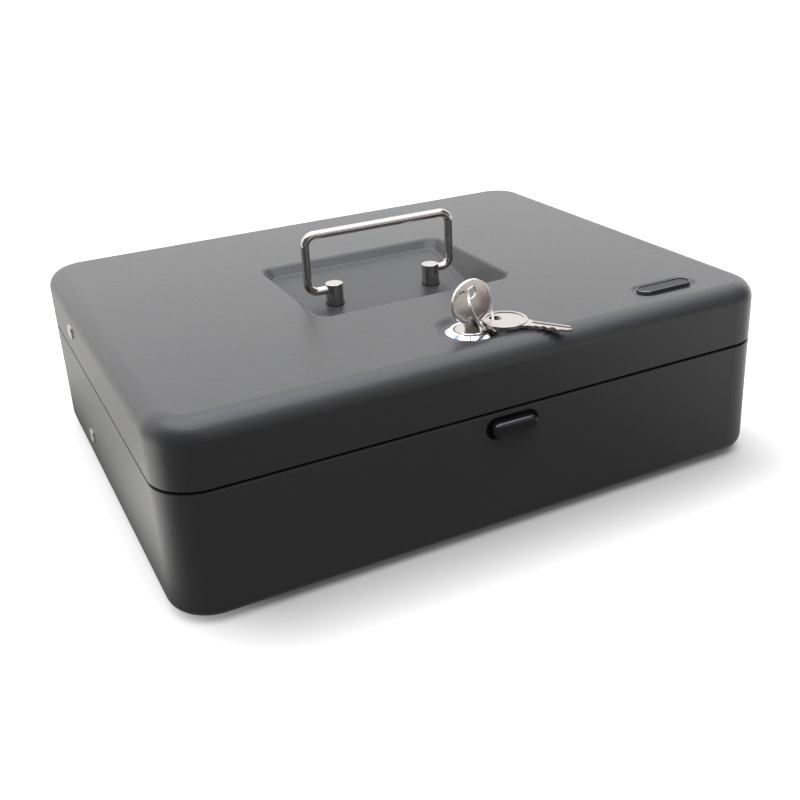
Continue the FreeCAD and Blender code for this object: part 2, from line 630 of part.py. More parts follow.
def button_bezel():
    bezel = button_stadium(SLOT_L - 0.1, SLOT_H - 0.1, -DEPTH / 2 - 0.15, FRONT_INNER_Y)
    bezel = bezel.fuse(button_stadium(SLOT_L + 4, SLOT_H + 2, FRONT_INNER_Y,
                                      FRONT_INNER_Y + FLANGE_T))
    return single_solid(bezel.cut(button_stadium(BEZEL_IN_L, BEZEL_IN_H, -130, -110)))


def latch_button():
    flange_y = FRONT_INNER_Y + 1.0

    def on_front(edge):
        bounds = edge.BoundBox
        return (abs(bounds.YMin - BUTTON_FRONT) < 1e-4
                and abs(bounds.YMax - BUTTON_FRONT) < 1e-4)

    button = button_stadium(BUTTON_L, BUTTON_H, BUTTON_FRONT, flange_y)
    button = fillet(button, BUTTON_EDGE_R, on_front)
    button = button.fuse(button_stadium(BUTTON_L + 2.2, BUTTON_H + 2.2, flange_y,
                                        flange_y + FLANGE_T))
    # stem that reaches back to the strip
    return single_solid(button.fuse(box(BUTTON_X - 4, BUTTON_X + 4, flange_y + 0.5,
                                        STRIP_Y - 0.1, BUTTON_Z - 1.5, BUTTON_Z + 1.5)))


def latch_spring():
    """Strip on the front wall, cranked back, with a nose to the front at its top."""
    wall, back = FRONT_INNER_Y, STRIP_Y + STRIP_T
    return single_solid(prism_x(BUTTON_X - STRIP_W / 2, BUTTON_X + STRIP_W / 2, [
        (wall, 24.0), (wall, 35.0), (STRIP_Y, 40.0), (STRIP_Y, NOSE_BOTTOM),
        (NOSE_Y, NOSE_BOTTOM), (NOSE_Y, NOSE_BOTTOM + 0.35), (back, NOSE_TOP + 2.0),
        (back, 39.75), (wall + STRIP_T, 34.75), (wall + STRIP_T, 24.0)]))


def lid_catch():
    """Angle on the front wall of the lid."""
    wall = FRONT_INNER_Y
    return single_solid(prism_x(BUTTON_X - CATCH_HALF_W, BUTTON_X + CATCH_HALF_W, [
        (wall, CATCH_BOTTOM), (CATCH_Y, CATCH_BOTTOM), (CATCH_Y, CATCH_TOP),
        (wall + CATCH_T, CATCH_TOP), (wall + CATCH_T, 79.0), (wall, 79.0)]))


def strike_plate():
    """Hat section that bridges the latch strip, with a strike bent back at its top."""
    wall, back = FRONT_INNER_Y, HAT_Y + HAT_T
    inside_lip = -DEPTH / 2 + LIP_INNER + 0.15
    plate = box(HAT_X0, HAT_X1, HAT_Y, back, HAT_BOTTOM, STRIKE_TOP)
    for x0, x1 in ((HAT_X0, HAT_X0 + HAT_T), (HAT_X1 - HAT_T, HAT_X1)):
        plate = plate.fuse(box(x0, x1, inside_lip, back, HAT_BOTTOM, STRIKE_TOP - 5.0))
        plate = plate.fuse(box(x0, x1, wall, back, HAT_BOTTOM, 57.5))
    for x0, x1 in ((HAT_X0 - 9, HAT_X0 + HAT_T), (HAT_X1 - HAT_T, HAT_X1 + 9)):
        plate = plate.fuse(box(x0, x1, wall, wall + HAT_T, HAT_BOTTOM, 44.0))
    plate = plate.fuse(box(-STRIKE_HALF_W, STRIKE_HALF_W, HAT_Y, STRIKE_END_Y,
                           STRIKE_BOTTOM, STRIKE_TOP))
    for x0, x1 in ((-30, -STRIKE_HALF_W), (STRIKE_HALF_W, 40)):
        plate = plate.cut(box(x0, x1, HAT_Y - 0.5, HAT_Y + 2, HAT_NECK_Z, 80))
    return single_solid(plate)


# ---------------------------------------------------------------- tray linkage
TRAY_HALF_X = 143.8
ARM_X0, ARM_X1 = 145.4, 146.9
BRACKET_X0, BRACKET_X1 = TRAY_HALF_X, 145.0
LINK_R = 6.0
JOINT_BORE = 2.3                         # loose hole of the arm on its pin
RIVET_HEAD_R, RIVET_HEAD_T = 4.0, 1.1
TRAY_RIVET_R = 1.5
TRAY_RIVET_BORE = TRAY_RIVET_R + FIT
# tray rivets, as (y, z) on the line from the joint to the lid pivot
TRAY_RIVETS = [(JOINT_Y + part * (LID_PIVOT_Y - JOINT_Y), JOINT_Z + part * (LID_PIVOT_Z - JOINT_Z))
               for part in (0.25, 0.45, 0.66)]


def link_plate(x0, x1, ay, az, by, bz):
    """Flat link with round ends, lying in a YZ plane."""
    dy, dz = by - ay, bz - az
    length = math.hypot(dy, dz)
    py, pz = -dz / length * LINK_R, dy / length * LINK_R
    plate = prism_x(x0, x1, [(ay + py, az + pz), (by + py, bz + pz),
                             (by - py, bz - pz), (ay - py, az - pz)])
    for y, z in ((ay, az), (by, bz)):
        plate = plate.fuse(cylinder((x0, y, z), X_AXIS, LINK_R, x1 - x0))
    return plate.removeSplitter()


def tray_brackets():
    plate = link_plate(BRACKET_X0, BRACKET_X1, JOINT_Y, JOINT_Z, LID_PIVOT_Y, LID_PIVOT_Z)
    holes = [(JOINT_Y, JOINT_Z, PIVOT_BORE), (LID_PIVOT_Y, LID_PIVOT_Z, PIVOT_BORE)]
    holes += [(y, z, TRAY_RIVET_BORE) for y, z in TRAY_RIVETS]
    for y, z, radius in holes:
        plate = plate.cut(cylinder((BRACKET_X0 - 1, y, z), X_AXIS, radius, 4))
    return right_and_left(plate)


def arms():
    plate = link_plate(ARM_X0, ARM_X1, BASE_PIVOT_Y, BASE_PIVOT_Z, JOINT_Y, JOINT_Z)
    for y, z, radius in ((BASE_PIVOT_Y, BASE_PIVOT_Z, PIVOT_BORE),
                         (JOINT_Y, JOINT_Z, JOINT_BORE)):
        plate = plate.cut(cylinder((ARM_X0 - 1, y, z), X_AXIS, radius, 4))
    return right_and_left(plate)


def pivot_rivets(x, inner_head, y, z):
    """Flat outer head, shank, clinched inner head given as (offset from x, radius) points."""
    head_x, end_x = SIDE_X + 0.02, SIDE_X + RIVET_HEAD_T
    profile = [(x + offset, radius) for offset, radius in inner_head]
    profile += [
        (head_x, PIVOT_R), (head_x, RIVET_HEAD_R), (SIDE_X + 0.5, RIVET_HEAD_R),
        (end_x - 0.1, RIVET_HEAD_R - 0.7), (end_x, RIVET_HEAD_R - 1.2), (end_x, 0)]
    return right_and_left(revolve_x(profile, y, z))


def lid_rivets():
    head = [(-1.3, 0), (-1.3, 3.0), (-0.9, 3.5), (-0.1, 3.5), (-0.1, PIVOT_R)]
    return pivot_rivets(BRACKET_X0, head, LID_PIVOT_Y, LID_PIVOT_Z)


def base_rivets():
    head = [(-0.9, 0), (-0.9, 3.1), (-0.6, 3.5), (-0.05, 3.5), (-0.05, PIVOT_R)]
    return pivot_rivets(ARM_X0, head, BASE_PIVOT_Y, BASE_PIVOT_Z)


def spacers(x, y, z, radius):
    """Tubes that reach from x almost to the side walls."""
    return right_and_left(tube((x, y, z), X_AXIS, radius, PIVOT_BORE, SIDE_X - SHEET - FIT - x))


def arm_pins():
    return right_and_left(revolve_x([
        (BRACKET_X0, 0), (BRACKET_X0, PIVOT_R), (ARM_X1 + FIT, PIVOT_R), (ARM_X1 + FIT, 3.2),
        (ARM_X1 + 0.5, 3.2), (ARM_X1 + 0.7, 2.9), (ARM_X1 + 0.7, 0)], JOINT_Y, JOINT_Z))


def tray_bracket_rivets():
    x = TRAY_HALF_X - TRAY_T   # inner face of the tray side
    profile = [(x - 0.9, 0), (x - 0.9, 1.8), (x - 0.5, 2.8), (x - 0.02, 2.8),
               (x - 0.02, TRAY_RIVET_R), (BRACKET_X1, TRAY_RIVET_R), (BRACKET_X1, 0)]
    rivets = []
    for y, z in TRAY_RIVETS:
        rivets += right_and_left(revolve_x(profile, y, z))
    return rivets


# ---------------------------------------------------------------- coin tray
TRAY_Y0, TRAY_Y1 = -98.0, 57.0
TRAY_Z0, TRAY_Z1, TRAY_T = 34.0, 67.5, 1.6
TRAY_SPLIT_Y = -34.4                     # rear end of the coin cups
TRAY_R = 9.0
CUPS, BINS = 5, 4
CUP_R, CUP_CORNER_R = 36.0, 3.0
BIN_CORNER_R, BIN_FLOOR_R = 6.0, 4.0


def tray_block(inset, z0, z1):
    return rounded_block(TRAY_HALF_X - inset, TRAY_Y0 + inset, TRAY_Y1 - inset,
                         TRAY_R - inset, z0, z1)


def cells(count):
    """Row of equal cells: inside x0, x1, then x0, x1 with the walls (half of an end wall)."""
    width = (2 * (TRAY_HALF_X - TRAY_T) - (count - 1) * TRAY_T) / count
    for i in range(count):
        x0 = -TRAY_HALF_X + TRAY_T + i * (width + TRAY_T)
        x1 = x0 + width
        yield (x0, x1, x0 - TRAY_T * (0.5 if i == 0 else 1.0),
               x1 + TRAY_T * (0.5 if i == count - 1 else 1.0))


def scoop(x0, x1, y0, y1, z0, z1, radius):
    """Block with a bottom that is round from front to back."""
    y_mid, half = (y0 + y1) / 2.0, (y1 - y0) / 2.0
    z_end = z0 + radius - radius * math.cos(math.asin(half / radius))
    front, back = V(x0, y0, z_end), V(x0, y1, z_end)
    front_top, back_top = V(x0, y0, z1), V(x0, y1, z1)
    wire = Part.Wire([Part.Arc(front, V(x0, y_mid, z0), back).toShape(),
                      Part.LineSegment(back, back_top).toShape(),
                      Part.LineSegment(back_top, front_top).toShape(),
                      Part.LineSegment(front_top, front).toShape()])
    return Part.Face(wire).extrude(V(x1 - x0, 0, 0))


def coin_tray():
    wall, pocket_z0, pocket_z1 = TRAY_T, TRAY_Z0 + TRAY_T, TRAY_Z1 + 2
    tray = tray_block(0, TRAY_Z1 - 2.0, TRAY_Z1)
    tray = tray.fuse(tray_block(0, TRAY_Z0, TRAY_Z1).cut(
        tray_block(wall, TRAY_Z0 - 1, TRAY_Z1 + 1)))

    solids, pockets = [], []
    y0, y1 = TRAY_Y0 + wall, TRAY_SPLIT_Y
    for x0, x1, wall_x0, wall_x1 in cells(CUPS):
        solids.append(scoop(wall_x0, wall_x1, y0 - wall * 0.5, y1 + wall, TRAY_Z0,
                            TRAY_Z1 - 0.5, CUP_R + wall))
        pockets.append(fillet(
            scoop(x0, x1, y0, y1, pocket_z0, pocket_z1, CUP_R), CUP_CORNER_R,
            lambda edge: edge.BoundBox.ZLength > 20 and edge.BoundBox.YLength < 0.1))
    y0, y1 = TRAY_SPLIT_Y + wall, TRAY_Y1 - wall
    for x0, x1, wall_x0, wall_x1 in cells(BINS):
        solids.append(box(wall_x0, wall_x1, y0 - wall, y1 + wall * 0.5, TRAY_Z0, TRAY_Z1 - 0.5))
        pocket = box(x0, x1, y0, y1, pocket_z0, pocket_z1)
        pocket = fillet(pocket, BIN_CORNER_R, upright(pocket_z1 - pocket_z0))
        pockets.append(fillet(pocket, BIN_FLOOR_R, level(pocket_z0)))

    envelope = tray_block(0, TRAY_Z0 - 1, TRAY_Z1 + 1)
    for solid in solids:
        tray = tray.fuse(solid.common(envelope))
    for pocket in pockets:
        tray = tray.cut(pocket)
    for y, z in TRAY_RIVETS:
        tray = tray.cut(side_to_side(y, z, TRAY_RIVET_BORE))
    tray = fillet_if_sound(single_solid(tray), 0.6, level(TRAY_Z1),
                           lambda rounded: rounded.isValid() and len(rounded.Solids) == 1)
    return tray.Solids[0]


# ---------------------------------------------------------------- badge and feet
BADGE_L, BADGE_W, BADGE_T = 30.0, 8.6, 1.9
BADGE_RIM, BADGE_SINK = 0.9, 0.25        # raised rim around a sunk face


def badge_plate():
    bottom = TOP_Z - DISH_DEPTH
    top = bottom + BADGE_T
    badge = stadium_up(BADGE_X, BADGE_Y, BADGE_L, BADGE_W, bottom, top)
    badge = fillet(badge, 0.4, level(top))
    return single_solid(badge.cut(stadium_up(BADGE_X, BADGE_Y, BADGE_L - 2 * BADGE_RIM,
                                             BADGE_W - 2 * BADGE_RIM, top - BADGE_SINK, top + 1)))


def foot(x, y):
    """Round foot with a stem through the base, headed over inside."""
    inside = BASE_Z + SHEET
    return single_solid(revolve_z([
        (0, 0.0), (FOOT_R - 0.8, 0.0), (FOOT_R, 0.8), (FOOT_R, BASE_Z), (FOOT_STEM_R, BASE_Z),
        (FOOT_STEM_R, inside + FIT), (FOOT_STEM_R + 0.9, inside + FIT),
        (FOOT_STEM_R + 0.4, inside + 1.6), (0, inside + 1.6)], x, y))


# ---------------------------------------------------------------- write the pieces
os.makedirs("parts", exist_ok=True)

for piece in (lid_shell, base_shell, hinge_rod, handle_bail, lock_ring, lock_body, lock_nut,
              lock_plug, lock_cam, cam_clip, key_in_lock, spare_key, key_ring, button_bezel,
              latch_button, latch_spring, lid_catch, strike_plate, coin_tray, badge_plate):
    save(piece.__name__, piece())

for piece in (lid_rivets, base_rivets, arm_pins, tray_bracket_rivets):
    save(piece.__name__, *piece())

for name, build in (("handle_posts", handle_post), ("post_washers", post_washer),
                    ("post_screws", post_screw)):
    save(name, *[build(side) for side in SIDES])

for names, pair in ((("hinge_leaf_base", "hinge_leaf_lid"), hinge_leaves()),
                    (("tray_bracket_right", "tray_bracket_left"), tray_brackets()),
                    (("arm_right", "arm_left"), arms())):
    for name, shape in zip(names, pair):
        save(name, shape)

save("lid_spacers", *spacers(BRACKET_X1 + 0.1, LID_PIVOT_Y, LID_PIVOT_Z, 4.2))
save("base_spacers", *spacers(ARM_X1 + FIT, BASE_PIVOT_Y, BASE_PIVOT_Z, 5.0))
save("feet", *[foot(x, y) for x, y in FOOT_PLACES])
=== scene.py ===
"""A cash box with its key in the lock, dressed and lit around its CAD frame.

Lengths are in metres, or in millimetres where multiplied by MM. The box stands on the floor
at z = 0 near the origin. Its lock side faces -Y (the front), +X is to the right and +Z is up.
"""

import json
import math

import bmesh
import bpy
from mathutils import Matrix, Vector


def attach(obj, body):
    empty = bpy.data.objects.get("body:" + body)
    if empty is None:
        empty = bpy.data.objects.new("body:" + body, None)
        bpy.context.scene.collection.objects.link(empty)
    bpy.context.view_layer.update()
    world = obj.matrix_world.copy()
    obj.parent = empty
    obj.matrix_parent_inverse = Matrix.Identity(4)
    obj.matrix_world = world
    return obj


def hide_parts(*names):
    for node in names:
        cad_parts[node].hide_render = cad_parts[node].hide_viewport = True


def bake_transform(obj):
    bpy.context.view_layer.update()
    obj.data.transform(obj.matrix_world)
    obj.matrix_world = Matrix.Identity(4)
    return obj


MM = 0.001
SCENE = bpy.context.scene

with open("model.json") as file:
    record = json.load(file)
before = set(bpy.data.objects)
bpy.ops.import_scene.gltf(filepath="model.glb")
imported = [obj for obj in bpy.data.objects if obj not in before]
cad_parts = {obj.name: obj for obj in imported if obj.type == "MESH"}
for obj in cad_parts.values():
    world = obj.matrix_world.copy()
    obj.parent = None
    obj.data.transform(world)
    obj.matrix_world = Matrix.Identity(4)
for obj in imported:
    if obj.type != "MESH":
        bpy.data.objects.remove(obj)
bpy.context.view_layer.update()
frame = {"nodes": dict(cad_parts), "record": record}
NODES = frame["nodes"]


# ------------------------------------------------------------------ node helpers
class Graph:
    """Short calls for building a node tree; values may be numbers, tuples or sockets."""

    def __init__(self, owner):
        """Start an empty tree on a material or world."""
        owner.use_nodes = True
        self.tree = owner.node_tree
        self.tree.nodes.clear()

    def put(self, value, socket):
        if isinstance(value, bpy.types.NodeSocket):
            self.tree.links.new(value, socket)
            return
        if socket.type == "RGBA" and len(value) == 3:
            value = (*value, 1.0)
        socket.default_value = value

    def node(self, kind, inputs=None, **props):
        made = self.tree.nodes.new(kind)
        for key, value in props.items():
            setattr(made, key, value)
        for key, value in (inputs or {}).items():
            self.put(value, made.inputs[key])
        return made

    def math(self, operation, *values):
        return self.node("ShaderNodeMath", dict(enumerate(values)), operation=operation).outputs[0]

    def add(self, a, b):
        return self.math("ADD", a, b)

    def sub(self, a, b):
        return self.math("SUBTRACT", a, b)

    def mul(self, a, b):
        return self.math("MULTIPLY", a, b)

    def max(self, a, b):
        return self.math("MAXIMUM", a, b)

    def beyond(self, value, half):
        """How far a coordinate lies outside -half..half."""
        return self.max(self.sub(self.math("ABSOLUTE", value), half), 0.0)

    def hypot(self, a, b):
        return self.math("SQRT", self.add(self.mul(a, a), self.mul(b, b)))

    def centred(self, noise, swing):
        """Noise shifted to swing evenly about zero."""
        return self.mul(self.sub(noise, 0.5), swing)

    def vector_math(self, operation, a, b):
        return self.node("ShaderNodeVectorMath", {0: a, 1: b}, operation=operation).outputs

    def xyz(self, vector):
        return self.node("ShaderNodeSeparateXYZ", {0: vector}).outputs

    def vec(self, x, y, z):
        return self.node("ShaderNodeCombineXYZ", {0: x, 1: y, 2: z}).outputs[0]

    def cool_grey(self, tone, blue):
        """A grey whose blue is raised by a factor."""
        return self.vec(tone, tone, self.mul(tone, blue))

    def coords(self, kind="Object"):
        return self.node("ShaderNodeTexCoord").outputs[kind]

    def noise(self, at, scale, detail=2.0, rough=0.5):
        inputs = {"Vector": at, "Scale": scale, "Detail": detail, "Roughness": rough}
        return self.node("ShaderNodeTexNoise", inputs).outputs[0]

    def streaks(self, at, grain, detail=2.0):
        """Noise with its own scale on each axis."""
        stretched = self.vector_math("MULTIPLY", at, grain)[0]
        return self.noise(stretched, scale=1.0, detail=detail, rough=0.6)

    def cells(self, at, scale):
        return self.node("ShaderNodeTexVoronoi", {"Vector": at, "Scale": scale}).outputs

    def ramp(self, value, start, end, high=1.0):
        """A smooth rise from 0 at start to high at end; start may be above end."""
        inputs = {0: value, 1: start, 2: end, 3: 0.0, 4: high}
        made = self.node("ShaderNodeMapRange", inputs, interpolation_type="SMOOTHSTEP")
        return made.outputs[0]

    def mix(self, fac, base, over, blend="MIX"):
        """Blend two colours."""
        inputs = {0: fac, 6: base, 7: over}
        return self.node("ShaderNodeMix", inputs, data_type="RGBA", blend_type=blend).outputs[2]

    def lerp(self, fac, low, high):
        """Blend two numbers."""
        return self.node("ShaderNodeMix", {0: fac, 2: low, 3: high}, data_type="FLOAT").outputs[0]

    def bump(self, height, depth, strength=0.6):
        inputs = {"Height": height, "Distance": depth, "Strength": strength}
        return self.node("ShaderNodeBump", inputs).outputs[0]

    def camera_split(self, other_rays, camera_rays):
        """One shader for what the camera sees, another for every other ray."""
        is_camera = self.node("ShaderNodeLightPath").outputs["Is Camera Ray"]
        inputs = {0: is_camera, 1: other_rays.outputs[0], 2: camera_rays.outputs[0]}
        return self.node("ShaderNodeMixShader", inputs).outputs[0]


def material(name, finish):
    """A Principled material; finish(g) returns its inputs."""
    made = bpy.data.materials.new(name)
    g = Graph(made)
    output = g.node("ShaderNodeOutputMaterial")
    shader = g.node("ShaderNodeBsdfPrincipled")
    for key, value in finish(g).items():
        g.put(value, shader.inputs[key])
    g.put(shader.outputs[0], output.inputs[0])
    return made


# ------------------------------------------------------------------ finishes
# Noise scales are per metre and bump depths are in metres.
def powder_coat(g):
    """Matt anthracite powder coat: sandy grain and pale specks over a slight orange peel."""
    co = g.coords()
    grain = g.noise(co, scale=1500, rough=0.6)
    peel = g.noise(co, scale=420)
    cloud = g.noise(co, scale=14, detail=3.0)
    speck = g.ramp(g.noise(co, scale=2600, detail=1.0), start=0.68, end=0.76, high=1.0)
    tone = g.add(g.lerp(cloud, low=0.027, high=0.031), g.centred(grain, swing=0.012))
    color = g.cool_grey(tone, blue=1.02)
    speck_share, speck_color = 0.22, (0.14, 0.14, 0.14)
    color = g.mix(g.mul(speck, speck_share), base=color, over=speck_color)
    grain_height, peel_height = 0.65, 0.5
    height = g.add(g.mul(grain, grain_height), g.mul(peel, peel_height))
    # painted shade: a near-black, dull line in a thin band of height just above z = 60 mm, where
    # the base's shoulder lies in shade under the lid's lower edge
    z = g.xyz(co)[2]
    painted_seam_shade = g.mul(g.ramp(z, start=0.0598, end=0.0602), g.ramp(z, start=0.06085, end=0.06075))
    return {
        "Base Color": g.mix(painted_seam_shade, base=color, over=(0.004, 0.004, 0.004)),
        "Roughness": g.lerp(peel, low=0.31, high=0.40),
        "Specular IOR Level": g.lerp(painted_seam_shade, low=0.5, high=0.07),
        "Normal": g.bump(height, depth=0.00017),
    }


def metal(color, rough, grain=(900, 900, 900), depth=0.00002, haze=0.06, smudge=0.08):
    """A metal with fine tooling marks and slightly uneven polish.

    grain is the scale of the marks along x, y, z; a low number draws them out on that axis.
    haze is the spread of roughness, smudge how far the dull areas darken.
    """
    dark = tuple(c * (1 - smudge * 1.6) for c in color)
    bright = tuple(min(1.0, c * 1.12) for c in color)

    def finish(g):
        co = g.coords()
        lines = g.streaks(co, grain, detail=3.0)
        polish = g.noise(co, scale=160, detail=3.0, rough=0.55)
        areas = g.noise(co, scale=45)
        tone = g.mix(g.ramp(areas, start=0.3, end=0.7), base=dark, over=color)
        tone = g.mix(g.ramp(lines, start=0.35, end=0.65, high=0.35), base=tone, over=bright)
        uneven = g.lerp(polish, low=rough - haze * 0.5, high=rough + haze)
        least_rough = 0.03
        return {
            "Base Color": tone,
            "Metallic": 1.0,
            "Roughness": g.max(g.add(uneven, g.centred(lines, swing=haze)), least_rough),
            "Normal": g.bump(lines, depth),
        }

    return finish


def zinc_plate(g):
    """Bright zinc plating with faint crystal facets and a cool passivated tint."""
    co = g.coords()
    facet = g.xyz(g.cells(co, scale=260)["Color"])[0]
    fine = g.noise(co, scale=1800, rough=0.6)
    wash = g.ramp(g.noise(co, scale=40, detail=3.0), start=0.3, end=0.7)
    color = g.mix(wash, base=(0.25, 0.265, 0.285), over=(0.31, 0.305, 0.28))
    facet_share, fine_rough = 0.25, 0.08
    return {
        "Base Color": g.mix(g.mul(facet, facet_share), base=color, over=(0.38, 0.39, 0.40)),
        "Metallic": 1.0,
        "Roughness": g.add(g.lerp(facet, low=0.30, high=0.42), g.mul(fine, fine_rough)),
        "Normal": g.bump(fine, depth=0.00004, strength=0.5),
    }


def die_cast(g):
    """Matt plated zinc die casting, with the soft mottle of the mould."""
    co = g.coords()
    fine = g.noise(co, scale=1300, detail=3.0, rough=0.6)
    mottle = g.noise(co, scale=180)
    return {
        "Base Color": g.mix(mottle, base=(0.42, 0.42, 0.43), over=(0.56, 0.55, 0.54)),
        "Metallic": 1.0,
        "Roughness": g.lerp(fine, low=0.34, high=0.5),
        "Normal": g.bump(g.add(fine, mottle), depth=0.00006, strength=0.5),
    }


def tray_plastic(g):
    """Black moulded tray plastic with a fine spark-eroded texture."""
    co = g.coords()
    pits = g.cells(co, scale=1250)["Distance"]
    fine = g.noise(co, scale=900, detail=3.0, rough=0.6)
    cloud = g.noise(co, scale=18, detail=3.0)
    return {
        "Base Color": g.cool_grey(g.lerp(cloud, low=0.020, high=0.028), blue=1.04),
        "Roughness": g.lerp(fine, low=0.42, high=0.62),
        "Specular IOR Level": 0.5,
        "Normal": g.bump(g.add(pits, fine), depth=0.00007),
    }


def gloss_black(g):
    """Polished black button plastic with a faint orange peel and hairline handling marks."""
    co = g.coords()
    peel = g.noise(co, scale=220)
    hairs = g.ramp(g.streaks(co, grain=(240, 2600, 2600)), start=0.60, end=0.72)
    hair_share, hair_rough = 0.25, 0.08
    black, worn = (0.006, 0.006, 0.0065), (0.02, 0.02, 0.021)
    return {
        "Base Color": g.mix(g.mul(hairs, hair_share), base=black, over=worn),
        "Roughness": g.add(g.lerp(peel, low=0.10, high=0.18), g.mul(hairs, hair_rough)),
        "Specular IOR Level": 0.55,
        "Normal": g.bump(peel, depth=0.00003, strength=0.4),
    }


def matte_black(g):
    """Moulded bezel plastic, deep black with a fine grain."""
    fine = g.noise(g.coords(), scale=2100, rough=0.6)
    return {
        "Base Color": g.mix(fine, base=(0.0022, 0.0022, 0.0022), over=(0.0045, 0.0045, 0.0048)),
        "Roughness": g.lerp(fine, low=0.30, high=0.45),
        "Specular IOR Level": 0.06,
        "Normal": g.bump(fine, depth=0.00004, strength=0.5),
    }


def black_rubber(g):
    """Soft black rubber, dull, with a dusty bloom."""
    co = g.coords()
    fine = g.noise(co, scale=1400, detail=3.0, rough=0.6)
    bloom = g.noise(co, scale=120)
    return {
        "Base Color": g.mix(bloom, base=(0.012, 0.012, 0.012), over=(0.028, 0.027, 0.026)),
        "Roughness": g.lerp(fine, low=0.68, high=0.88),
        "Specular IOR Level": 0.3,
        "Normal": g.bump(fine, depth=0.00008),
    }


# the blank badge is a pill lying along x
BADGE_X, BADGE_Y = 0.103, -0.0976
BADGE_HALF_LENGTH, BADGE_RADIUS = 0.0150, 0.0043
RIM_INNER, RIM_OUTER = 0.00045, 0.00030  # the rim fades in between these insets


def badge_face(g):
    """Gloss black badge face inside a bright metal rim."""
    co = g.coords()
    x, y, _ = g.xyz(co)
    along = g.beyond(g.sub(x, BADGE_X), BADGE_HALF_LENGTH - BADGE_RADIUS)
    from_spine = g.hypot(along, g.sub(y, BADGE_Y))
    rim = g.ramp(from_spine, start=BADGE_RADIUS - RIM_INNER, end=BADGE_RADIUS - RIM_OUTER)
    peel = g.noise(co, scale=300)
    face_rough = g.lerp(peel, low=0.26, high=0.36)
    return {
        "Base Color": g.mix(rim, base=(0.010, 0.010, 0.011), over=(0.16, 0.16, 0.17)),
        "Metallic": rim,
        "Specular IOR Level": g.lerp(rim, low=0.12, high=0.5),
        "Roughness": g.lerp(rim, low=face_rough, high=0.2),
        "Normal": g.bump(peel, depth=0.00002, strength=0.4),
    }


FINISH = {
    "powder_coat": powder_coat,
    "hinge_steel": metal(
        color=(0.17, 0.17, 0.175), rough=0.42, grain=(60, 900, 900), depth=0.00003, haze=0.08),
    "pin_steel": metal(color=(0.34, 0.34, 0.35), rough=0.26, grain=(40, 1500, 1500)),
    "bright_nickel": metal(
        color=(0.52, 0.478, 0.455), rough=0.05, grain=(300, 300, 300),
        depth=0.0000001, haze=0.004, smudge=0.02),
    "dark_nickel": metal(
        color=(0.43, 0.40, 0.375), rough=0.13, grain=(60, 60, 3200),
        depth=0.0000012, haze=0.05, smudge=0.05),
    "zinc_steel": zinc_plate,
    "zinc_die_cast": die_cast,
    "chrome": metal(
        color=(0.86, 0.87, 0.89), rough=0.05, grain=(500, 500, 500),
        depth=0.000001, haze=0.02, smudge=0.02),
    "spring_steel": metal(
        color=(0.27, 0.285, 0.32), rough=0.28, grain=(900, 900, 50), haze=0.08),
    "key_nickel": metal(
        color=(0.44, 0.395, 0.37), rough=0.22, grain=(200, 900, 900),
        depth=0.0000010, smudge=0.07),
    "ring_wire": metal(
        color=(0.60, 0.58, 0.56), rough=0.13, grain=(600, 600, 600), depth=0.000002, haze=0.05),
    "gloss_black": gloss_black,
    "matte_black": matte_black,
    "tray_plastic": tray_plastic,
    "arm_steel": metal(
        color=(0.30, 0.305, 0.315), rough=0.36, grain=(1200, 70, 1200),
        depth=0.00003, haze=0.09),
    "rivet_nickel": metal(
        color=(0.40, 0.375, 0.35), rough=0.24, grain=(1200, 1200, 1200), depth=0.000002),
    "badge_black": badge_face,
    "black_rubber": black_rubber,
}
MATS = {slot: material("mat_" + slot, finish) for slot, finish in FINISH.items()}

# pieces whose finish differs from that of their slot: the key in the lock carries painted light,
# the lock barrel painted shade
OWN = {
    # painted light: a much brighter copy of the key nickel than the spare key's, standing in for
    # light the key in the lock catches
    "key_in_lock": material("mat_key_nickel_painted_bright", metal(
        color=(0.74, 0.675, 0.63), rough=0.18, grain=(200, 900, 900),
        depth=0.0000010, smudge=0.09)),
    # painted shade: the zinc barrel is made near-black, standing in for the shade in the groove
    # round the plug
    "lock_body": material("mat_barrel_painted_shade", metal(
        color=(0.10, 0.095, 0.09), rough=0.35, depth=0.000004, haze=0.08, smudge=0.05)),
}

SLOT_OF = {part["node"]: part["material_slot"] for part in frame["record"]["subparts"]}
for name, piece in NODES.items():
    piece.data.materials.clear()
    piece.data.materials.append(OWN.get(name) or MATS[SLOT_OF[name]])


# ------------------------------------------------------------------ mesh helpers
def mesh_object(name, verts, faces, mat, smooth):
    mesh = bpy.data.meshes.new(name)
    mesh.from_pydata([tuple(v) for v in verts], [], faces)
    mesh.update()
    bm = bmesh.new()
    bm.from_mesh(mesh)
    bmesh.ops.recalc_face_normals(bm, faces=bm.faces)
    bm.to_mesh(mesh)
    bm.free()
    mesh.polygons.foreach_set("use_smooth", [smooth] * len(mesh.polygons))
    mesh.materials.append(mat)
    made = bpy.data.objects.new(name, mesh)
    SCENE.collection.objects.link(made)
    return made


def band_faces(start, count):
    """Quads joining a loop of vertices from start to the loop that follows it."""
    for j in range(count):
        a, b = start + j, start + (j + 1) % count
        yield a, b, b + count, a + count


def sweep(points, axes, section):
    """Capped tube: the section carried along the points, on a pair of axes at each point."""
    verts, faces = [], []
    count = len(section)
    for point, (across, upward) in zip(points, axes):
        verts += [point + across * a + upward * b for a, b in section]
    last = (len(points) - 1) * count
    for start in range(0, last, count):
        faces += band_faces(start, count)
    faces.append(tuple(range(count))[::-1])
    faces.append(tuple(range(last, last + count)))
    return verts, faces


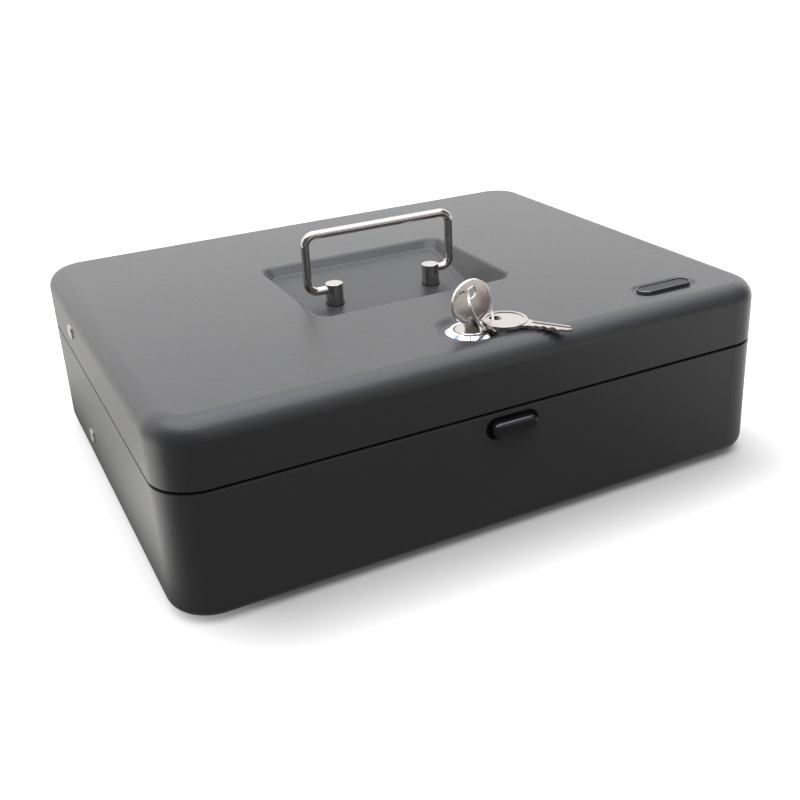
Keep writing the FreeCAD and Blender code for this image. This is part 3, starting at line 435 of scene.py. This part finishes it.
# ------------------------------------------------------------------ split ring
RING_CENTRE = Vector((3.85, -94.75, 98.715)) * MM
RING_NORMAL = Vector((0.6115, -0.6448, 0.4585)).normalized()
RING_RADIUS = 10.159 * MM
RING_TURNS, RING_STEPS = 1.985, 260
RING_START = math.radians(205)
TURN_OFFSET = 0.30  # mm, each turn from the ring's middle plane
CROSS_START, CROSS_LENGTH = 0.90, 0.19  # in turns, where the wire steps across
WIRE_HALF_WIDTH, WIRE_HALF_HEIGHT, WIRE_CORNER = 0.40 * MM, 0.27 * MM, 0.18 * MM


def split_ring():
    """Two flat turns of wire with the step where they cross over."""
    axis_u = RING_NORMAL.cross(Vector((0, 0, 1))).normalized()
    axis_v = RING_NORMAL.cross(axis_u)
    points, axes = [], []
    for i in range(RING_STEPS + 1):
        turn = RING_TURNS * i / RING_STEPS
        angle = RING_START + 2 * math.pi * turn
        radial = axis_u * math.cos(angle) + axis_v * math.sin(angle)
        step = min(1.0, max(0.0, (turn - CROSS_START) / CROSS_LENGTH))
        step = step * step * (3 - 2 * step)
        offset = TURN_OFFSET * (2 * step - 1) * MM
        points.append(RING_CENTRE + radial * RING_RADIUS + RING_NORMAL * offset)
        axes.append((radial, RING_NORMAL))
    section = []
    x = WIRE_HALF_WIDTH - WIRE_CORNER
    y = WIRE_HALF_HEIGHT - WIRE_CORNER
    for corner_x, corner_y, first in ((x, y, 0), (-x, y, 90), (-x, -y, 180), (x, -y, 270)):
        for k in range(4):
            angle = math.radians(first + 30 * k)
            section.append((corner_x + WIRE_CORNER * math.cos(angle),
                            corner_y + WIRE_CORNER * math.sin(angle)))
    verts, faces = sweep(points, axes, section)
    return mesh_object("split_ring", verts, faces, MATS["ring_wire"], smooth=True)


ring = split_ring()
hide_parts("key_ring")
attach(ring, "ring")

# ------------------------------------------------------------------ latch strip, in mm
STRIP_X, STRIP_WIDTH, STRIP_THICK = 3.9, 12.0, 0.6
WALL_Y, FREE_Y = -119.2, -115.6  # front faces of the foot and of the free length
NOSE_Y = -117.9
BEND_RADIUS, BEND_STEPS = 1.6, 6
PATH_STEP = 0.8  # straight runs are split into pieces of about this length
STRIP_CHAMFER = 0.12
NOSE_INSET = 0.1  # from each edge of the blade

# centre line of the blade from foot to tip: y, z
STRIP_PATH = [
    (WALL_Y + STRIP_THICK / 2, 24.0),
    (WALL_Y + STRIP_THICK / 2, 34.9),
    (FREE_Y + STRIP_THICK / 2, 39.9),
    (FREE_Y + STRIP_THICK / 2, 72.2),
]
# outline of the nose: y, z
NOSE = [
    (FREE_Y, 71.4), (NOSE_Y + 0.25, 71.4), (NOSE_Y, 71.6), (NOSE_Y, 71.8),
    (NOSE_Y + 0.15, 72.0), (FREE_Y + STRIP_THICK, 74.2), (FREE_Y + STRIP_THICK - 0.1, 71.6),
]


def round_bends(path):
    """The path with an arc at each inner point."""
    line = [path[0]]
    for triple in zip(path[1:], path, path[2:]):
        corner, before, after = (Vector(point) for point in triple)
        u, v = (before - corner).normalized(), (after - corner).normalized()
        half = u.angle(v) / 2
        setback = BEND_RADIUS / math.tan(half)
        centre = corner + (u + v).normalized() * (BEND_RADIUS / math.sin(half))
        start, end = corner + u * setback, corner + v * setback
        for k in range(BEND_STEPS + 1):
            chord = start.lerp(end, k / BEND_STEPS)
            line.append(tuple(centre + (chord - centre).normalized() * BEND_RADIUS))
    line.append(path[-1])
    return line


def subdivide(line):
    fine = [line[0]]
    for a, b in zip(line, line[1:]):
        count = max(1, int((Vector(b) - Vector(a)).length / PATH_STEP))
        for k in range(1, count + 1):
            fine.append((a[0] + (b[0] - a[0]) * k / count, a[1] + (b[1] - a[1]) * k / count))
    return fine


def latch_strip():
    """Sprung blade: foot on the wall, joggled free length, and a nose at the tip."""
    fine = subdivide(round_bends(STRIP_PATH))
    across = Vector((1, 0, 0))
    points, axes = [], []
    for i, (y, z) in enumerate(fine):
        a, b = fine[max(i - 1, 0)], fine[min(i + 1, len(fine) - 1)]
        along = Vector((0, b[0] - a[0], b[1] - a[1])).normalized()
        points.append(Vector((STRIP_X, y, z)) * MM)
        axes.append((across, across.cross(along)))
    x, y, cut = STRIP_WIDTH / 2 * MM, STRIP_THICK / 2 * MM, STRIP_CHAMFER * MM
    section = [
        (x - cut, y), (-x + cut, y), (-x, y - cut), (-x, -y + cut),
        (-x + cut, -y), (x - cut, -y), (x, -y + cut), (x, y - cut),
    ]
    verts, faces = sweep(points, axes, section)
    # nose that catches under the lid, bent forward from the tip
    base, count = len(verts), len(NOSE)
    half_width = STRIP_WIDTH / 2 - NOSE_INSET
    for x in (STRIP_X - half_width, STRIP_X + half_width):
        verts += [Vector((x, y, z)) * MM for y, z in NOSE]
    faces += band_faces(base, count)
    faces.append(tuple(range(base, base + count)))
    faces.append(tuple(range(base + count, base + 2 * count))[::-1])
    return mesh_object("latch_strip", verts, faces, MATS["spring_steel"], smooth=False)


strip = latch_strip()
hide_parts("latch_spring")
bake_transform(strip)

# ------------------------------------------------------------------ camera
CAMERA_AT = Vector((-210.22, -461.88, 257.19)) * MM
AZIMUTH, ELEVATION, ROLL = (math.radians(a) for a in (-26.29, 23.34, -2.67))


def camera():
    """Looks at the box from the front left, above."""
    back = Vector((math.sin(AZIMUTH) * math.cos(ELEVATION),
                   -math.cos(AZIMUTH) * math.cos(ELEVATION),
                   math.sin(ELEVATION)))
    level = Vector((math.cos(AZIMUTH), math.sin(AZIMUTH), 0.0))
    upright = back.cross(level)
    right = level * math.cos(ROLL) + upright * math.sin(ROLL)
    up = -level * math.sin(ROLL) + upright * math.cos(ROLL)
    data = bpy.data.cameras.new("camera")
    data.sensor_width = 36.0
    data.lens = 46.52145
    data.shift_x = -0.020475
    data.shift_y = -0.0467875
    data.clip_start = 0.01
    data.clip_end = 50.0
    made = bpy.data.objects.new("camera", data)
    SCENE.collection.objects.link(made)
    pose = Matrix((right, up, back)).transposed().to_4x4()
    pose.translation = CAMERA_AT
    made.matrix_world = pose
    SCENE.camera = made


camera()

# ------------------------------------------------------------------ floor
FLOOR_HALF, FLOOR_CELLS = 6.0, 24
FOOT_HALF_X, FOOT_HALF_Y = 0.14, 0.11  # area round the box where the floor's painted glow stays low
PAPER_COLOR, PAPER_ALBEDO = (1.0, 0.975, 0.925), 0.49


def floor_material():
    made = bpy.data.materials.new("floor_paper")
    g = Graph(made)
    co = g.coords()
    x, y, _ = g.xyz(co)

    # seen by the camera: paper with painted light, a glow that rises away from the box and to its
    # left and right, so the box's shadow shows only close to it
    distance = g.hypot(g.beyond(x, FOOT_HALF_X), g.beyond(y, FOOT_HALF_Y))
    far = g.ramp(distance, start=0.012, end=0.085)
    right = g.mul(g.ramp(x, start=0.13, end=0.19), g.ramp(y, start=-0.17, end=-0.08))
    beside = g.max(g.ramp(x, start=-0.10, end=-0.17), right)
    fibre = g.noise(co, scale=90, detail=3.0)
    albedo = g.lerp(fibre, low=PAPER_ALBEDO * 0.985, high=PAPER_ALBEDO)
    color = g.mix(1.0, base=PAPER_COLOR, over=g.vec(albedo, albedo, albedo), blend="MULTIPLY")
    paper = g.node("ShaderNodeBsdfDiffuse", {"Color": color})
    beside_glow = 0.42
    strength = g.add(g.lerp(far, low=0.05, high=0.65), g.mul(beside, beside_glow))
    glow = g.node("ShaderNodeEmission", {"Color": (1, 1, 1), "Strength": strength})
    seen = g.node("ShaderNodeAddShader", {0: paper.outputs[0], 1: glow.outputs[0]})

    # thrown back at the box: dim in front of it, bright to the sides and behind
    front_base, front_right = 0.20, 0.75
    front = g.add(front_base, g.mul(g.ramp(x, start=0.06, end=0.30), front_right))
    sides = g.max(g.ramp(x, start=0.17, end=0.25), g.ramp(x, start=-0.150, end=-0.185))
    around = g.max(sides, g.ramp(y, start=0.10, end=0.20))
    around = g.mul(around, g.ramp(y, start=-0.14, end=-0.05))
    left_level = g.lerp(g.ramp(y, start=-0.03, end=0.07), low=2.05, high=1.22)
    level = g.lerp(g.ramp(x, start=-0.10, end=-0.15), low=1.9, high=left_level)
    strength = g.lerp(around, low=front, high=level)
    bounce = g.node("ShaderNodeEmission", {"Color": (1.0, 0.99, 0.97), "Strength": strength})
    g.node("ShaderNodeOutputMaterial", {0: g.camera_split(bounce, seen)})
    return made


def floor():
    ticks = [-FLOOR_HALF + 2 * FLOOR_HALF * i / FLOOR_CELLS for i in range(FLOOR_CELLS + 1)]
    verts = [(x, y, 0.0) for y in ticks for x in ticks]
    row = FLOOR_CELLS + 1
    faces = []
    for j in range(FLOOR_CELLS):
        for i in range(FLOOR_CELLS):
            a = j * row + i
            faces.append((a, a + 1, a + row + 1, a + row))
    made = mesh_object("floor", verts, faces, floor_material(), smooth=False)
    made.visible_shadow = False


floor()


# ------------------------------------------------------------------ surroundings
def studio_world():
    """A studio painted on the sky: it lights the box, while the camera sees plain white."""
    world = bpy.data.worlds.new("studio")
    g = Graph(world)
    direction = g.coords("Generated")
    x, y, z = g.xyz(direction)

    def patch(towards, inner, outer):
        """1 in a round window of the sky, falling to 0 between two angular radii."""
        centre = tuple(Vector(towards).normalized())
        cosine = g.vector_math("DOT_PRODUCT", direction, centre)[1]
        return g.ramp(cosine, start=math.cos(outer), end=math.cos(inner))

    def dim(level, mask, factor):
        return g.mul(level, g.lerp(mask, low=1.0, high=factor))

    behind = g.ramp(y, start=-0.10, end=0.30)
    rise = g.ramp(z, start=0.02, end=0.50)
    level = g.lerp(behind, low=g.lerp(rise, low=0.36, high=1.10), high=1.62)
    low_left = g.mul(g.ramp(x, start=-0.25, end=-0.6), g.ramp(z, start=0.35, end=0.15))
    level = dim(level, low_left, factor=0.70)
    # dark patches round the camera and further to the left
    camera_patch = patch((-0.407, -0.823, 0.396), inner=math.radians(16), outer=math.radians(36))
    level = g.lerp(camera_patch, low=level, high=0.10)
    left_patch = patch((-0.83, -0.47, 0.30), inner=math.radians(16), outer=math.radians(40))
    level = g.lerp(left_patch, low=level, high=0.16)
    front_right = g.mul(g.ramp(x, start=0.40, end=0.62), g.ramp(y, start=-0.2, end=-0.5))
    level = dim(level, front_right, factor=0.42)
    overhead = g.ramp(z, start=0.68, end=0.86)
    level = g.lerp(overhead, low=level, high=4.0)
    right = g.mul(g.ramp(x, start=0.46, end=0.62), g.ramp(y, start=0.28, end=0.0))
    level = dim(level, right, factor=0.35)

    # cool light from overhead and the upper front, with two small dark blue gaps
    cool = g.max(overhead, g.mul(g.sub(1.0, behind), rise))
    tint = g.mix(cool, base=(1, 1, 1), over=(0.955, 0.98, 1.05))
    gaps = g.max(patch((-0.083, 0.574, 0.815), inner=0.07, outer=0.10),
                 patch((0.399, 0.182, 0.899), inner=0.06, outer=0.09))
    tint = g.mix(gaps, base=tint, over=(0.16, 0.20, 0.30))
    surround = g.node("ShaderNodeBackground", {"Color": tint, "Strength": level})
    white = g.node("ShaderNodeBackground", {"Color": (1, 1, 1), "Strength": 1.05})
    g.node("ShaderNodeOutputWorld", {0: g.camera_split(surround, white)})
    SCENE.world = world


studio_world()
SCENE.view_settings.view_transform = "Standard"
SCENE.view_settings.look = "None"
